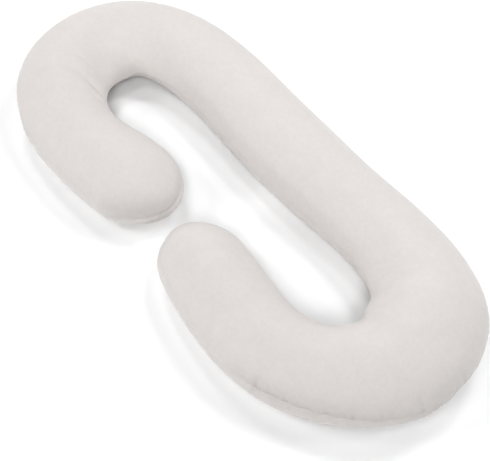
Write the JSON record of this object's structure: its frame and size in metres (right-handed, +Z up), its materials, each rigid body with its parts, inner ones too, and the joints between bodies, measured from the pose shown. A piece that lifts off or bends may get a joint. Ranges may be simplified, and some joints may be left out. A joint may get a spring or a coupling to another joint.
{
  "type": "c-shaped body pillow",
  "caption": "Filled C-shaped body pillow in brushed cloth, lying flat: a long straight spine with an arm hooking back from each end, and a seam round its side.",
  "frame": {"origin": "on the surface that the pillow lies on, under the middle of its outline", "axes": "+Y along the straight spine, from the near bend to the far bend, +X towards the spine's outer side, so the mouth opens towards -X, and +Z up"},
  "size_m": [0.5752, 1.353, 0.178],
  "materials": {
    "cover_cloth": "warm pale grey brushed velour, matt with a soft nap"
  },
  "bodies": {
    "root": {"pillow": "cover_cloth"}
  },
  "joints": []
}
